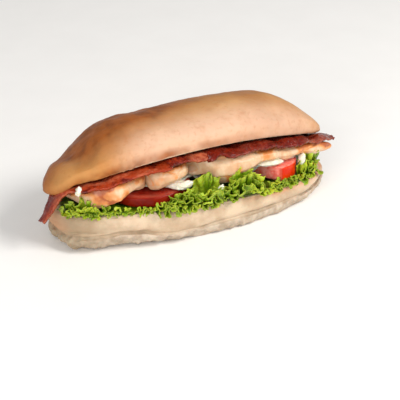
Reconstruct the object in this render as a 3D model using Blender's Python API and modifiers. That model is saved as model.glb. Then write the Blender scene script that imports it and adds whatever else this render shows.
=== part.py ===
"""A long bread roll filled with bacon, chicken, tomato, lettuce and mayonnaise.

The roll's long axis is X, its open side faces -Y, and it stands on Z = 0.
Lengths are in millimetres, and MM turns them into metres where a mesh is made.
"""

import math

import bmesh
import bpy
import numpy as np
from mathutils import Vector, noise

MM = 0.001
GAP = 0.4  # left between pieces that lie on each other

# The heel, which is the lower half of the roll
HEEL_LENGTH = 202
HEEL_WIDTH = 88.6
HEEL_CREASE_HEIGHT = 9.0
HEEL_PLAN_POWER = 2.25  # 2 is an ellipse, and more is squarer
# (place along X, height of the cut face)
HEEL_TOP = ((-102, 24.0), (-60, 25.6), (0, 22.4), (40, 19.5), (65, 17.2), (102, 13.0))
# (latitude, share of the plan's size, height) from the foot to the cut face, for a heel 22.5 high
HEEL_PROFILE = (
    (-90, 0.00, 0.0),
    (-60, 0.84, 0.0),
    (-50, 0.915, 0.9),
    (-40, 0.962, 3.0),
    (-30, 0.990, 5.6),
    (-20, 0.990, 7.8),
    (-10, 0.962, 9.0),
    (0, 0.975, 10.6),
    (10, 0.990, 13.2),
    (20, 0.990, 16.4),
    (30, 0.980, 19.4),
    (40, 0.965, 21.4),
    (50, 0.935, 22.5),
    (60, 0.850, 22.5),
    (90, 0.00, 22.5),
)
HEEL_NOMINAL = 22.5
HEEL_UNDERCUT = (-56, 42, 8.0)  # place along X, width and depth, where its front draws in below
HEEL_CORNER = (-90, -22, 15, 4.5)  # place along X and Y, width and reach, where it swells below

# The crown, which is the upper half, lifted at the front by the filling
CROWN_LENGTH = 200
CROWN_WIDTH = 80
# (place along X, thickness at the middle)
CROWN_THICKNESS = (
    (-103, 21),
    (-86, 22),
    (-60, 28.6),
    (-30, 26.4),
    (0, 26.3),
    (40, 28.2),
    (70, 27.0),
    (97, 15),
)
CROWN_END_POWER = 2.3
CROWN_SIDE_POWER = 2.2
CROWN_DOME_POWER = 0.56
CROWN_LIP = 0.2  # share of the thickness at which the crown is widest
CROWN_TILT = math.radians(17)
CROWN_CENTRE = Vector((-3.2, -1.5, 0.0))
CROWN_CUT_HEIGHT = 49.5
CROWN_ARCH = 9.5  # how far the cut face falls at ARCH_SPAN from the middle
ARCH_SPAN = 85
CROWN_LEAN = 2.8  # how much lower the right end is there
NOSE_DIP = (-84, 7.5, 4.5)  # place, width and depth of the pinch behind the left tip
# (latitude, share of the plan's size, share of the thickness) of the underside
CROWN_UNDERSIDE = (
    (-90, 0.00, 0.00),
    (-45, 0.90, 0.00),
    (-30, 0.962, 0.01),
    (-18, 0.988, 0.06),
    (-8, 1.000, 0.13),
    (0, 1.000, 0.20),
)

# The filling
LETTUCE_BED = 2.2  # thickness of the lettuce under the other pieces, at the middle
LETTUCE_SLOPE = 0.02  # how much thicker it gets for each millimetre towards the front
LETTUCE_THICKNESS = 0.9
LEAF_FOLD = 0.5  # share of the leaf that lies on the heel
LEAF_RIPPLE = 9.0  # length of one frill
LEAF_OVERHANG = 5.5
RIM_LENGTH = 199  # the edge of the heel's cut face, over which the lettuce reaches
RIM_WIDTH = 86
BACON_THICKNESS = 2.0
BACON_ZONE = 5.2  # room that the rashers take under the crown
BACON_DROOP = 1.8  # more room for them at the front
MAYONNAISE_SPREAD = 1.6
MAYONNAISE_LENGTH = (-58, 70)
MAYONNAISE_FRONT = -24
MAYONNAISE_BACK = 6
MAYONNAISE_REACH = (2.0, 9)  # how far outside a slice the layer leaves it and meets the lettuce
FACET = 4.5  # about half of the largest facet of the chicken


def smooth_curve(stations):
    """A function through (place, value) stations, with no kinks."""
    places, values = np.array(stations, float).T
    slopes = np.gradient(values, places)

    def at(place):
        place = float(np.clip(place, places[0], places[-1]))
        i = int(np.clip(np.searchsorted(places, place) - 1, 0, len(places) - 2))
        span = places[i + 1] - places[i]
        t = (place - places[i]) / span
        return float(
            (2 * t**3 - 3 * t**2 + 1) * values[i]
            + (t**3 - 2 * t**2 + t) * span * slopes[i]
            + (3 * t**2 - 2 * t**3) * values[i + 1]
            + (t**3 - t**2) * span * slopes[i + 1]
        )

    return at


def smoothstep(low, high, value):
    """0 below low, 1 above high, and a smooth rise between them."""
    t = min(1.0, max(0.0, (value - low) / (high - low)))
    return t * t * (3 - 2 * t)


def bump(offset, width):
    """A bell of height 1 at offset 0."""
    return math.exp(-((offset / width) ** 2))


def roughness(point, scale, depth):
    """Uneven relief, at most about depth, with lumps about scale across."""
    return depth * noise.noise(Vector(point) / scale)


heel_top = smooth_curve(HEEL_TOP)
crown_thickness = smooth_curve(CROWN_THICKNESS)


def crown_cut(x, y):
    """Height of the crown's cut face, which arches along X and is higher at the front."""
    share = x / ARCH_SPAN
    middle = CROWN_CUT_HEIGHT - CROWN_ARCH * share**2 - CROWN_LEAN * share
    return middle - (y - CROWN_CENTRE.y) * math.tan(CROWN_TILT)


def rim(x):
    """How far the edge of the heel's cut face is from the middle line."""
    return RIM_WIDTH / 2 * math.sqrt(max(0.04, 1 - (2 * x / RIM_LENGTH) ** 2))


def lettuce_top(x, y):
    """Height of the lettuce under the other fillings, which is thicker towards the front."""
    return heel_top(x) + LETTUCE_BED - LETTUCE_SLOPE * y


class TomatoSlice:
    """A round slice, thinner at the back, and with a straight cut if it is a part of one."""

    def __init__(self, name, middle, radius, thickness, taper, slope, cut=None):
        self.name = name
        self.middle = Vector(middle)
        self.radius = radius
        self.thickness = thickness
        self.taper = taper  # share of the thickness that is lost from the middle to the back
        self.slope = Vector(slope)
        self.cut = cut  # (heading in degrees, distance from the middle)

    def rise(self, x, y):
        """How far the slope lifts this place above the slice's middle."""
        return self.slope.dot((x - self.middle.x, y - self.middle.y))

    def thinning(self, y):
        return 1 - self.taper * (y - self.middle.y) / self.radius

    def top(self, x, y):
        return self.middle.z + self.thickness / 2 * self.thinning(y) + self.rise(x, y)

    def reach(self, x, y):
        """How far this place lies outside the slice's edge."""
        across = Vector((x - self.middle.x, y - self.middle.y))
        outside = across.length - self.radius
        if self.cut:
            heading = math.radians(self.cut[0])
            beyond = across.dot((math.cos(heading), math.sin(heading))) - self.cut[1]
            outside = max(outside, beyond)
        return outside


TOMATOES = (
    TomatoSlice("tomato_slice_left", (-37.5, -10.5, 31.4), 28, 6.0, 0.12, (0.01, -0.01)),
    TomatoSlice("tomato_slice_right", (46, -9, 26.8), 27, 8.6, 0.2, (-0.09, -0.01), (-135, 15.5)),
)


def over_tomatoes(x, y, near, far):
    """Height of a layer that lies on the slices and reaches the lettuce at a distance of far."""
    height = lettuce_top(x, y)
    for tomato in TOMATOES:
        cover = 1 - smoothstep(near, far, tomato.reach(x, y))
        height += max(0.0, tomato.top(x, y) + GAP - height) * cover
    return height


# (place along X, half width, thickness, place along Y) of each lobe of mayonnaise at the front
MAYONNAISE_LOBES = ((-27, 7, 4.6, -38), (41, 9, 5.0, -30), (65, 5, 4.0, -30))


def mayonnaise_front(x):
    """Front edge of the layer, which the lobes push forward."""
    lobes = [(y - MAYONNAISE_FRONT) * bump(x - place, width) for place, width, _, y in MAYONNAISE_LOBES]
    return MAYONNAISE_FRONT + min(lobes)


def mayonnaise_thickness(x, y):
    """The thickness that the layer has where it is, and 0 some way outside its edge."""
    inside = smoothstep(-2.5, -0.5, y - mayonnaise_front(x)) * smoothstep(2.5, 0.5, y - MAYONNAISE_BACK)
    lobes = [thick * bump(x - place, width) for place, width, thick, _ in MAYONNAISE_LOBES]
    squeezed = max(0.0, max(lobes) - MAYONNAISE_SPREAD) * smoothstep(-14, -28, y)
    return (MAYONNAISE_SPREAD + squeezed) * inside


def bacon_floor(x, y):
    """Underside of the room for the rashers, which may droop at the front."""
    return crown_cut(x, y) - BACON_ZONE - BACON_DROOP * smoothstep(-22, -34, y)


def clear_scene():
    for obj in list(bpy.data.objects):
        bpy.data.objects.remove(obj)


def paint(name, colour, roughness_value):
    material = bpy.data.materials.new(name)
    material.use_nodes = True
    shader = material.node_tree.nodes["Principled BSDF"]
    shader.inputs["Base Color"].default_value = (*colour, 1)
    shader.inputs["Roughness"].default_value = roughness_value
    shader.inputs["Metallic"].default_value = 0
    return material


def add_object(name, bm, material, collection):
    """Turns the bmesh, drawn in millimetres, into a named object in metres."""
    bmesh.ops.scale(bm, vec=(MM, MM, MM), verts=bm.verts)
    bmesh.ops.recalc_face_normals(bm, faces=bm.faces)
    mesh = bpy.data.meshes.new(name)
    bm.to_mesh(mesh)
    bm.free()
    mesh.shade_smooth()
    mesh.materials.append(material)
    obj = bpy.data.objects.new(name, mesh)
    collection.objects.link(obj)
    return obj


def rounded_body(name, around, rings, form, material, collection):
    """A UV sphere whose every (longitude, latitude) the form moves into place."""
    bm = bmesh.new()
    bmesh.ops.create_uvsphere(bm, u_segments=around, v_segments=rings, radius=1)
    for vert in bm.verts:
        longitude = math.atan2(vert.co.y, vert.co.x)
        latitude = math.asin(min(1.0, max(-1.0, vert.co.z)))
        vert.co = form(longitude, latitude)
    return add_object(name, bm, material, collection)


def strip(name, divisions, point, thickness, material, collection):
    """A grid bent to point(along, across) and thickened to a solid."""
    bm = bmesh.new()
    bmesh.ops.create_grid(bm, x_segments=divisions[0], y_segments=divisions[1], size=0.5)
    for vert in bm.verts:
        vert.co = point(vert.co.x + 0.5, vert.co.y + 0.5)
    bmesh.ops.triangulate(bm, faces=bm.faces[:])
    obj = add_object(name, bm, material, collection)
    thicken = obj.modifiers.new("thickness", "SOLIDIFY")
    thicken.thickness = thickness * MM
    thicken.offset = 0
    return obj


def plan_point(angle, half_length, half_width, end_power=2.0, side_power=2.0):
    """The point of a rounded plan outline at this angle."""
    c, s = math.cos(angle), math.sin(angle)
    x = math.copysign(half_length * abs(c) ** (2 / end_power), c)
    y = math.copysign(half_width * abs(s) ** (2 / side_power), s)
    return x, y


heel_share = smooth_curve([(latitude, share) for latitude, share, _ in HEEL_PROFILE])
heel_height = smooth_curve([(latitude, height) for latitude, _, height in HEEL_PROFILE])


def heel_form(longitude, latitude):
    """The roll's lower half: a flat foot, a bulge, a crease round it and a cut face."""
    degrees = math.degrees(latitude)
    share = heel_share(degrees)
    half_length, half_width = HEEL_LENGTH / 2 * share, HEEL_WIDTH / 2 * share
    x, y = plan_point(longitude, half_length, half_width, HEEL_PLAN_POWER, HEEL_PLAN_POWER)
    z = max(0.0, min(HEEL_NOMINAL, heel_height(degrees)))
    above = max(0.0, z - HEEL_CREASE_HEIGHT)
    z += above / (HEEL_NOMINAL - HEEL_CREASE_HEIGHT) * (heel_top(x) - HEEL_NOMINAL)
    if -55 < degrees < 45:
        push = 1 + roughness((x, y, 2 * z), 17, 0.022)
        x, y = x * push, y * push
        z += roughness((x, y, 50), 24, 1.2) * bump(degrees + 10, 14)
    below = max(0.0, 1 - z / HEEL_CREASE_HEIGHT)
    place, width, depth = HEEL_UNDERCUT
    draw_in = depth * bump(x - place, width) * below**1.3 * smoothstep(0, -30, y)
    corner_x, corner_y, width, reach = HEEL_CORNER
    swell = reach * bump(x - corner_x, width) * bump(y - corner_y, width) * smoothstep(13, 8, z)
    return Vector((x - swell, y + draw_in - 0.2 * swell, z))


crown_share = smooth_curve([(latitude, share) for latitude, share, _ in CROWN_UNDERSIDE])
crown_height = smooth_curve([(latitude, height) for latitude, _, height in CROWN_UNDERSIDE])


def crown_form(longitude, latitude):
    """The roll's upper half: a long dome on a flat cut, tilted back and arched over the filling."""
    degrees = math.degrees(latitude)
    share = crown_share(degrees) if degrees < 0 else math.cos(latitude) ** 0.85
    half_length, half_width = CROWN_LENGTH / 2, CROWN_WIDTH / 2
    x, y = plan_point(longitude, half_length, half_width, CROWN_END_POWER, CROWN_SIDE_POWER)
    x, y = x * share, y * share
    if degrees < 0:
        height = max(0.0, crown_height(degrees))
    else:
        end = abs(x / half_length) ** (CROWN_END_POWER + 0.5)
        side = abs(y / half_width) ** CROWN_SIDE_POWER
        height = CROWN_LIP + (1 - CROWN_LIP) * max(0.0, 1 - end - side) ** CROWN_DOME_POWER
    along = x + CROWN_CENTRE.x
    z = crown_thickness(along) * height
    place, width, depth = NOSE_DIP
    z -= depth * bump(along - place, width) * smoothstep(0.25, 0.6, height)
    z += roughness((x, y, 80), 30, 1.4) * smoothstep(0.1, 0.5, height)
    foot = CROWN_CENTRE.y + y * math.cos(CROWN_TILT)
    across = foot + z * math.sin(CROWN_TILT)
    return Vector((along, across, crown_cut(along, foot) + z * math.cos(CROWN_TILT)))


def tomato_slice(shape, material, collection):
    """A disc with rounded rims, cut straight across where only a part of a slice shows."""
    bm = bmesh.new()
    bmesh.ops.create_cone(
        bm,
        cap_ends=True,
        segments=36,
        radius1=shape.radius,
        radius2=shape.radius,
        depth=shape.thickness,
    )
    if shape.cut:
        heading = math.radians(shape.cut[0])
        outward = Vector((math.cos(heading), math.sin(heading), 0))
        geometry = bm.verts[:] + bm.edges[:] + bm.faces[:]
        bmesh.ops.bisect_plane(
            bm, geom=geometry, plane_co=outward * shape.cut[1], plane_no=outward, clear_outer=True
        )
        edges = [edge for edge in bm.edges if edge.is_boundary]
        bmesh.ops.contextual_create(bm, geom=edges)
    for vert in bm.verts:
        uneven = 1 + roughness((vert.co.x, vert.co.y, 9), 28, 0.05)
        x = shape.middle.x + vert.co.x * uneven
        y = shape.middle.y + vert.co.y * uneven
        height = vert.co.z * shape.thinning(y)
        vert.co = Vector((x, y, shape.middle.z + height + shape.rise(x, y)))
    obj = add_object(shape.name, bm, material, collection)
    rounding = obj.modifiers.new("rounded rim", "BEVEL")
    rounding.width = 1.1 * MM
    rounding.segments = 2
    rounding.limit_method = "ANGLE"
    rounding.angle_limit = math.radians(50)
    return obj


def slab(name, divisions, place, material, collection):
    """A solid between two grids, whose points place(u, v, upper) gives."""
    bm = bmesh.new()
    bmesh.ops.create_grid(bm, x_segments=divisions[0], y_segments=divisions[1], size=1)
    raised = bmesh.ops.extrude_face_region(bm, geom=bm.faces[:])["geom"]
    upper = {item for item in raised if isinstance(item, bmesh.types.BMVert)}
    for vert in bm.verts:
        vert.co = place(vert.co.x, vert.co.y, vert in upper)
    bmesh.ops.triangulate(bm, faces=bm.faces[:])
    return add_object(name, bm, material, collection)


def mayonnaise_place(u, v, upper):
    """A spread layer on the tomato and lettuce, squeezed out in lobes at the front."""
    start, end = MAYONNAISE_LENGTH
    x = (start + end) / 2 + u * (end - start) / 2
    front = mayonnaise_front(x) + roughness((x, 0, 10), 9, 1.5)
    y = front + (MAYONNAISE_BACK - front) * (0.5 + 0.5 * v * (1 - 0.4 * abs(u) ** 4))
    z = over_tomatoes(x, y, *MAYONNAISE_REACH) + GAP
    if upper:
        z += max(MAYONNAISE_SPREAD, mayonnaise_thickness(x, max(y, front + 1)))
    return Vector((x, y, z))


class ChickenPiece:
    """A piece of grilled breast: its plan, and the heights of its top and underside along X."""

    def __init__(self, name, start, end, front, back, underside, divisions, seed):
        self.name = name
        self.start, self.end = start, end
        self.front, self.back = smooth_curve(front), smooth_curve(back)
        self.underside = smooth_curve(underside)
        self.divisions = divisions
        self.seed = seed

    def floor(self, x, y):
        """The lowest that the underside can be, above the mayonnaise here and all around."""
        heights = []
        for x_near in (x - FACET, x, x + FACET):
            for y_near in (y - FACET, y, y + FACET):
                bed = over_tomatoes(x_near, y_near, *MAYONNAISE_REACH)
                heights.append(bed + mayonnaise_thickness(x_near, y_near))
        return max(heights) + 2.5 * GAP

    def place(self, u, v, upper):
        """A point of the underside or top; both come together at the rim."""
        u_near_rim = math.copysign(1 - (1 - abs(u)) ** 1.4, u)
        v_near_rim = math.copysign(1 - (1 - abs(v)) ** 1.4, v)
        x = (self.start + self.end) / 2
        x += (self.end - self.start) / 2 * u_near_rim * (1 - 0.1 * abs(v) ** 4)
        x += roughness((0, 20 * v, self.seed + 60), 9, 3.0) * u
        front, back = self.front(x), self.back(x)
        y = front + (back - front) * (0.5 + 0.5 * v_near_rim * (1 - 0.35 * abs(u) ** 4))
        y += roughness((x, 0, self.seed), 9, 3.5) * max(0.0, -v)
        ceiling = bacon_floor(x, y) - GAP
        low = self.underside(x) - 0.1 * (y - front) + roughness((x, y, self.seed), 12, 1.6)
        low = min(max(low, self.floor(x, y)), ceiling - 1.2)
        high = ceiling + min(0.0, roughness((x, y, self.seed + 30), 14, 2.5))
        high = max(high, low + 1.2)
        fullness = 0.3 + 0.7 * math.sqrt(max(0.0, 1 - max(abs(u), abs(v)) ** 6))
        side = 1 if upper else -1
        return Vector((x, y, (low + high) / 2 + side * fullness * (high - low) / 2))


CHICKEN = (
    ChickenPiece(
        "chicken_left",
        -91,
        -46,
        front=((-91, -17), (-78, -30), (-66, -34), (-56, -31), (-46, -30)),
        back=((-91, 8), (-70, 20), (-46, 25)),
        underside=((-91, 33), (-80, 30), (-68, 28), (-60, 31), (-46, 36)),
        divisions=(16, 8),
        seed=3,
    ),
    ChickenPiece(
        "chicken_middle",
        -44,
        -17.5,
        front=((-44, -34), (-34, -37.5), (-17.5, -35)),
        back=((-44, 25), (-17.5, 27)),
        underside=((-44, 34), (-30, 37), (-17.5, 38)),
        divisions=(8, 8),
        seed=17,
    ),
    ChickenPiece(
        "chicken_right",
        -15.5,
        101,
        front=((-15.5, -34), (0, -38.5), (25, -38.5), (55, -34), (80, -27), (101, -21)),
        back=((-15.5, 28), (20, 26), (60, 14), (101, -4)),
        underside=((-15.5, 33), (0, 32), (18, 33.5), (32, 38), (55, 35), (80, 30.5), (101, 27)),
        divisions=(24, 8),
        seed=29,
    ),
)


class Rasher:
    """A strip of bacon, given by (place along X, place along Y, drop) along its two long edges."""

    def __init__(self, name, front, back, divisions, crowding=1.0, phase=0.0):
        self.name = name
        self.edges = [self.edge(front), self.edge(back)]
        self.divisions = divisions
        self.crowding = crowding  # above 1 where the start bends sharply
        self.phase = phase

    @staticmethod
    def edge(stations):
        places = [(x, y) for x, y, _ in stations]
        drops = [(x, drop) for x, _, drop in stations]
        return stations[0][0], stations[-1][0], smooth_curve(places), smooth_curve(drops)

    def point(self, along, across):
        """A point of the strip's middle surface. along and across run from 0 to 1."""
        ends = []
        for start, end, place, drop in self.edges:
            x = start + (end - start) * along**self.crowding
            ends.append(Vector((x, place(x), drop(x))))
        x, y, drop = ends[0].lerp(ends[1], across)
        y += 0.9 * math.sin(x / 4.1 + self.phase) * (1 - across)
        room = (BACON_ZONE - BACON_THICKNESS) / 2 - GAP
        wave = 0.8 * math.sin(x / 5.2 + self.phase) + 0.5 * math.sin(x / 2.7 + 2 * across)
        wave = max(-room, min(room, wave))
        return Vector((x, y, crown_cut(x, y) - BACON_ZONE / 2 + wave - drop))


RASHERS = (
    Rasher(
        "bacon_left",
        front=(
            (-110, -17, 13.0),
            (-106, -17, 8.5),
            (-102, -17, 3.5),
            (-98, -18, 0.5),
            (-88, -25, 0.5),
            (-70, -33, 1.0),
            (-50, -38.5, 1.0),
            (-34.5, -40, 1.0),
        ),
        back=(
            (-113, -7, 13.5),
            (-109, -7, 9.0),
            (-104, -4, 4.0),
            (-98, 0, 1.5),
            (-88, 0, 0),
            (-70, -5, 0),
            (-34.5, -9, 0),
        ),
        divisions=(28, 3),
        crowding=1.35,
        phase=0.4,
    ),
    Rasher(
        "bacon_middle",
        front=((-33, -39, 0.5), (-22, -40, 0.5), (-11, -39, 0.5)),
        back=((-33, -9, 0), (-22, -9, 0), (-11, -9, 0)),
        divisions=(8, 3),
        phase=1.0,
    ),
    Rasher(
        "bacon_right",
        front=((-9.5, -39, 1.5), (0, -40.5, 1.8), (30, -40, 1.2), (60, -35, 1), (85, -26, 0), (103, -18, 0)),
        back=((-9.5, -9, 0), (30, -8, 0), (60, -4, 0), (85, 0, 0), (103, -6, 0)),
        divisions=(34, 3),
        phase=2.1,
    ),
    Rasher(
        "bacon_back_left",
        front=((-92, 2.5, 0), (-70, -3, 0), (-3, -7, 0)),
        back=((-92, 10, 0), (-70, 24, 0), (-40, 32, 0), (-3, 34, 0.5)),
        divisions=(16, 3),
        phase=3.0,
    ),
    Rasher(
        "bacon_back_right",
        front=((-1.5, -7, 0), (30, -6, 0), (60, -2, 0), (88, 3, 0)),
        back=((-1.5, 34, 0.5), (40, 33, 0), (70, 25, 0), (88, 12, 0)),
        divisions=(16, 3),
        phase=4.2,
    ),
)


class Leaf:
    """A lettuce leaf across the roll: it lies on the heel and its front edge stands up in frills."""

    def __init__(self, name, start, end, crest, divisions, seed):
        self.name = name
        self.start, self.end = start, end
        self.crest = smooth_curve(crest)  # height of the front edge
        self.divisions = divisions
        self.seed = seed

    def point(self, along, across):
        """A point of the leaf's middle surface, from its back edge (0) to its front edge (1)."""
        x = self.start + (self.end - self.start) * along
        turn_back, turn_front = rim(x) - 7.0, 1.5 - rim(x)
        lying = min(1.0, across / LEAF_FOLD)
        rising = max(0.0, (across - LEAF_FOLD) / (1 - LEAF_FOLD))
        y = turn_back + (turn_front - turn_back) * lying
        bed = heel_top(x) + (lettuce_top(x, y) - heel_top(x)) / 2
        ripple = math.sin(2 * math.pi * x / LEAF_RIPPLE + self.seed + 1.5 * across)
        swell = roughness((x, y, self.seed), 9, 0.9)
        free = max(rising, 0.5 * smoothstep(0.12, 0.0, across))
        y -= LEAF_OVERHANG * math.sin(rising * math.pi / 2)
        y -= 1.7 * ripple * rising
        z = bed + max(-0.6, min(0.6, swell)) * (1 - free)
        z += (self.crest(x) - bed) * rising**1.25
        z += 1.4 * math.cos(2 * math.pi * x / (1.7 * LEAF_RIPPLE) + self.seed) * free * rising
        return Vector((x, y, z))


LEAVES = (
    Leaf(
        "lettuce_left",
        -95,
        -45.5,
        crest=((-95, 31), (-89, 36), (-82, 34), (-76, 30), (-68, 29.5), (-58, 29.5), (-45.5, 31)),
        divisions=(24, 8),
        seed=0.7,
    ),
    Leaf(
        "lettuce_middle",
        -44,
        31,
        crest=(
            (-44, 31),
            (-38, 33.5),
            (-32, 37),
            (-22, 42),
            (-9, 44),
            (2, 37.5),
            (9, 38.5),
            (16, 41.5),
            (24, 39),
            (31, 35),
        ),
        divisions=(38, 8),
        seed=2.9,
    ),
    Leaf(
        "lettuce_right",
        32.5,
        87,
        crest=((32.5, 33), (42, 29), (50, 25.5), (58, 23.5), (66, 26), (72, 30), (79, 32.5), (87, 31)),
        divisions=(28, 8),
        seed=5.1,
    ),
)


def main():
    clear_scene()
    collection = bpy.data.collections.new("bacon_chicken_tomato_roll")
    bpy.context.scene.collection.children.link(collection)
    crust = paint("crust", (0.72, 0.42, 0.19), 0.55)
    pale_crust = paint("pale_crust", (0.80, 0.70, 0.52), 0.75)
    bacon_meat = paint("bacon_meat", (0.42, 0.07, 0.04), 0.3)
    chicken_meat = paint("chicken_meat", (0.78, 0.55, 0.36), 0.5)
    tomato_flesh = paint("tomato_flesh", (0.70, 0.06, 0.02), 0.2)
    sauce = paint("sauce", (0.90, 0.88, 0.80), 0.25)
    lettuce_green = paint("lettuce_green", (0.24, 0.42, 0.05), 0.45)
    rounded_body("roll_heel", 48, 18, heel_form, pale_crust, collection)
    rounded_body("roll_crown", 44, 20, crown_form, crust, collection)
    for leaf in LEAVES:
        strip(leaf.name, leaf.divisions, leaf.point, LETTUCE_THICKNESS, lettuce_green, collection)
    for shape in TOMATOES:
        tomato_slice(shape, tomato_flesh, collection)
    slab("mayonnaise", (30, 6), mayonnaise_place, sauce, collection)
    for piece in CHICKEN:
        slab(piece.name, piece.divisions, piece.place, chicken_meat, collection)
    for rasher in RASHERS:
        strip(rasher.name, rasher.divisions, rasher.point, BACON_THICKNESS, bacon_meat, collection)


main()
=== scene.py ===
import math

import bpy
import numpy as np
from mathutils import Matrix, Vector, noise


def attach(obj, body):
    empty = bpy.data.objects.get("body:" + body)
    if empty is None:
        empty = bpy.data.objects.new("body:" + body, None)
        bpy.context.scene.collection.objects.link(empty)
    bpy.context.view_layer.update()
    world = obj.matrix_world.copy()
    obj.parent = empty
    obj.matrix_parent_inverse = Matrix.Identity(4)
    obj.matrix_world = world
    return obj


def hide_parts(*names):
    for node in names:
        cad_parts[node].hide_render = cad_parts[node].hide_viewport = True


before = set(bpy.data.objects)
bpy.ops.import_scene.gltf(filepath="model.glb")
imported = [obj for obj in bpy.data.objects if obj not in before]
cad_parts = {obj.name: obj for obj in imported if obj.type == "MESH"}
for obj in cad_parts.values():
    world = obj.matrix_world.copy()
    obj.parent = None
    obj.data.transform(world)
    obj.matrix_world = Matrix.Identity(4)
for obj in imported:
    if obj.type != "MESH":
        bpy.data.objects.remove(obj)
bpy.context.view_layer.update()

# Lengths are in millimetres, apart from those of the camera, floor and lamps.
MM = 0.001


# Curves and noise

def smooth_curve(stations):
    """A function through (place, value) stations, with no kinks. Takes arrays too."""
    places, values = np.array(stations, float).T
    slopes = np.gradient(values, places)

    def at(place):
        place = np.clip(place, places[0], places[-1])
        i = np.clip(np.searchsorted(places, place) - 1, 0, len(places) - 2)
        span = places[i + 1] - places[i]
        t = (place - places[i]) / span
        return (
            (2 * t**3 - 3 * t**2 + 1) * values[i]
            + (t**3 - 2 * t**2 + t) * span * slopes[i]
            + (3 * t**2 - 2 * t**3) * values[i + 1]
            + (t**3 - t**2) * span * slopes[i + 1]
        )

    return at


def smoothstep(low, high, value):
    """0 at low and 1 at high, with a soft start and end. high may be the smaller of the two."""
    t = np.clip((value - low) / (high - low), 0.0, 1.0)
    return t * t * (3 - 2 * t)


def bump_at(offset, width):
    """A soft hump: 1 where offset is 0, and 0.37 at a width away."""
    return np.exp(-((offset / width) ** 2))


def lattice(cell, seed):
    """A repeatable number from 0 to 1 for each whole-numbered cell, scattered by large odd factors."""
    n = cell[..., 0] * 374761393 + cell[..., 1] * 668265263 + cell[..., 2] * 2147483647 + seed * 1442695041
    n = (n ^ (n >> 13)) * 1274126177
    n = n & 0x7FFFFFFF
    n = (n ^ (n >> 16)) * 2246822519
    return ((n >> 5) & 0xFFFFF) / float(0xFFFFF)


def value_noise(points, seed):
    """Smooth noise from -1 to 1 at each point of a (..., 3) array, with cells of size 1."""
    base = np.floor(points).astype(np.int64)
    f = points - base
    f = f * f * f * (f * (f * 6 - 15) + 10)
    total = np.zeros(points.shape[:-1])
    for corner in range(8):
        step = np.array([(corner >> k) & 1 for k in range(3)])
        weight = np.ones(points.shape[:-1])
        for k in range(3):
            weight = weight * (f[..., k] if step[k] else 1 - f[..., k])
        total += weight * lattice(base + step, seed)
    return total * 2 - 1


def layered_noise(points, size, layers, seed, stretch=(1, 1, 1)):
    """Noise whose largest lumps are about size across, with finer ones on top."""
    p = np.asarray(points, float) / (size * np.array(stretch, float))
    total, strength, whole = 0.0, 1.0, 0.0
    for k in range(layers):
        total = total + strength * value_noise(p * 2.03**k + 17.3 * k, seed + k)
        whole += strength
        strength *= 0.5
    return total / whole


def soft_noise(points, scale):
    """The same noise as in the solids' source, for points in an (n, 3) array."""
    return np.array([noise.noise(Vector(p) / scale) for p in points])


# Meshes

def mesh_object(name, points, faces, attributes=None):
    """An object from points in millimetres and an array of quads or triangles."""
    points = np.asarray(points, float).reshape(-1, 3)
    faces = np.asarray(faces, int)
    mesh = bpy.data.meshes.new(name)
    mesh.vertices.add(len(points))
    mesh.vertices.foreach_set("co", (points * MM).ravel())
    sides = faces.shape[1]
    mesh.loops.add(faces.size)
    mesh.loops.foreach_set("vertex_index", faces.ravel())
    mesh.polygons.add(len(faces))
    mesh.polygons.foreach_set("loop_start", np.arange(0, faces.size, sides))
    mesh.polygons.foreach_set("loop_total", np.full(len(faces), sides))
    mesh.update(calc_edges=True)
    mesh.validate()
    mesh.shade_smooth()
    for key, values in (attributes or {}).items():
        layer = mesh.attributes.new(key, "FLOAT", "POINT")
        layer.data.foreach_set("value", np.asarray(values, float).ravel())
    obj = bpy.data.objects.new(name, mesh)
    bpy.context.scene.collection.objects.link(obj)
    return obj


def rings(*spans):
    """Latitudes from (from, to, count) spans in degrees."""
    parts = [np.linspace(a, b, n, endpoint=False) for a, b, n in spans]
    return np.radians(np.concatenate(parts))


def ball_grid(around, latitude):
    """Longitudes, latitudes and triangles of a sphere with rings at the given latitudes."""
    longitude = np.linspace(-math.pi, math.pi, around, endpoint=False)
    lon, lat = np.meshgrid(longitude, np.asarray(latitude))
    lon = np.concatenate([lon.ravel(), [0.0, 0.0]])
    lat = np.concatenate([lat.ravel(), [-math.pi / 2, math.pi / 2]])
    count = len(latitude)
    faces = []
    for j in range(count - 1):
        a = j * around + np.arange(around)
        b = j * around + (np.arange(around) + 1) % around
        faces.append(np.stack([a, b, b + around, a + around], 1))
    quads = np.concatenate(faces)
    south, north = len(lon) - 2, len(lon) - 1
    a = np.arange(around)
    b = (a + 1) % around
    top = (count - 1) * around
    fans = np.concatenate([
        np.stack([b, a, np.full(around, south)], 1),
        np.stack([top + a, top + b, np.full(around, north)], 1),
    ])
    triangles = np.concatenate([quads[:, [0, 1, 2]], quads[:, [0, 2, 3]], fans])
    return lon, lat, triangles


def normals_of(points, triangles):
    a, b, c = points[triangles[:, 0]], points[triangles[:, 1]], points[triangles[:, 2]]
    face = np.cross(b - a, c - a)
    total = np.zeros_like(points)
    for k in range(3):
        np.add.at(total, triangles[:, k], face)
    return total / np.maximum(np.linalg.norm(total, axis=1), 1e-9)[:, None]


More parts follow.
